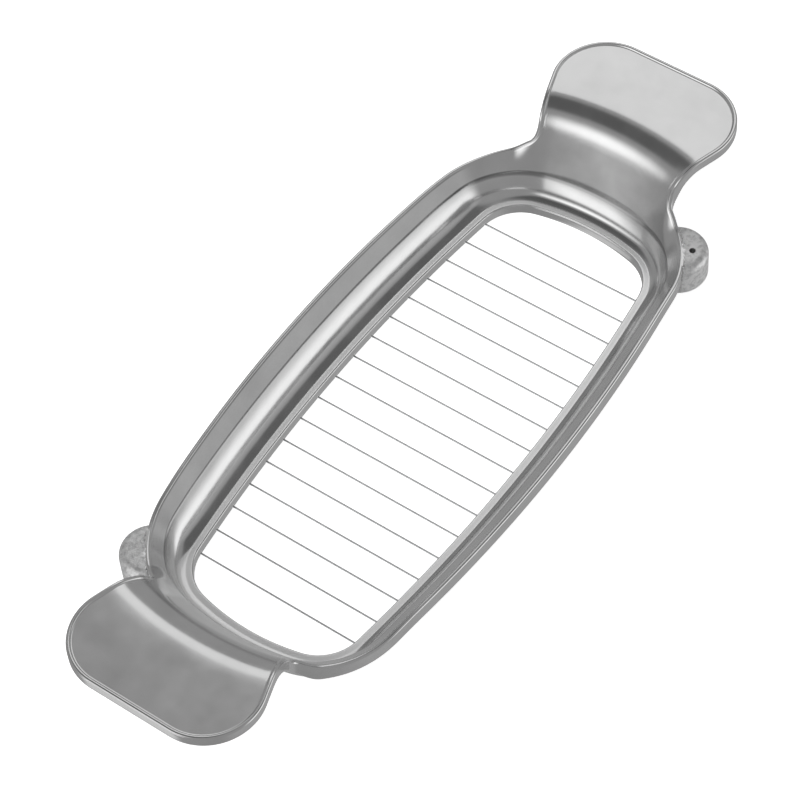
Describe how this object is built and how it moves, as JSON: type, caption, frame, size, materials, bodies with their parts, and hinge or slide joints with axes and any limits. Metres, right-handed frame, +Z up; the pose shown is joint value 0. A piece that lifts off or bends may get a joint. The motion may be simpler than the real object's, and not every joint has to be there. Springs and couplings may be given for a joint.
{
  "type": "egg slicer",
  "caption": "Hand-held slicer: an oblong cast frame with a raised paddle at each end and wires strung side by side across its opening.",
  "frame": {"origin": "centre of the object, at the height of the lip's flat underside", "axes": "+X along the frame from paddle to paddle, +Y across it along the wires, +Z up, out of the open mouth of the bowl"},
  "size_m": [0.1904, 0.0654, 0.0218],
  "materials": {
    "cast_aluminium": "polished casting, lightly mottled",
    "stainless_wire": "bright drawn wire",
    "plated_steel": "plated, satin"
  },
  "bodies": {
    "slicer": {"frame": "cast_aluminium", "wire_01": "stainless_wire", "wire_02": "stainless_wire", "wire_03": "stainless_wire", "wire_04": "stainless_wire", "wire_05": "stainless_wire", "wire_06": "stainless_wire", "wire_07": "stainless_wire", "wire_08": "stainless_wire", "wire_09": "stainless_wire", "wire_10": "stainless_wire", "wire_11": "stainless_wire", "wire_12": "stainless_wire", "wire_13": "stainless_wire", "wire_14": "stainless_wire", "wire_15": "stainless_wire", "wire_16": "stainless_wire", "wire_17": "stainless_wire", "wire_returns_left": "stainless_wire", "wire_returns_right": "stainless_wire", "wire_tail_left": "stainless_wire", "wire_tail_right": "stainless_wire"},
    "washer_left": {"anchor_washer_left": "plated_steel"},
    "screw_left": {"anchor_screw_left": "plated_steel"},
    "washer_right": {"anchor_washer_right": "plated_steel"},
    "screw_right": {"anchor_screw_right": "plated_steel"}
  },
  "joints": [
    {"name": "washer_left_lift", "type": "slide", "parent": "slicer", "child": "washer_left", "axis": [0, 0, -1], "range_m": [0, 0.000675]},
    {"name": "screw_left_turn", "type": "hinge", "parent": "washer_left", "child": "screw_left", "pos_m": [-0.0614, 0.0264, 0.00284], "axis": [0, 0, -1], "range_deg": [0, 541]},
    {"name": "washer_right_lift", "type": "slide", "parent": "slicer", "child": "washer_right", "axis": [0, 0, -1], "range_m": [0, 0.000675]},
    {"name": "screw_right_turn", "type": "hinge", "parent": "washer_right", "child": "screw_right", "pos_m": [0.0614, -0.0264, 0.00284], "axis": [0, 0, -1], "range_deg": [0, 541]}
  ],
  "couplings": [
    {"joint": "screw_left_turn", "follows": "washer_left_lift", "rad_per_m": 13963},
    {"joint": "screw_right_turn", "follows": "washer_right_lift", "rad_per_m": 13963}
  ]
}
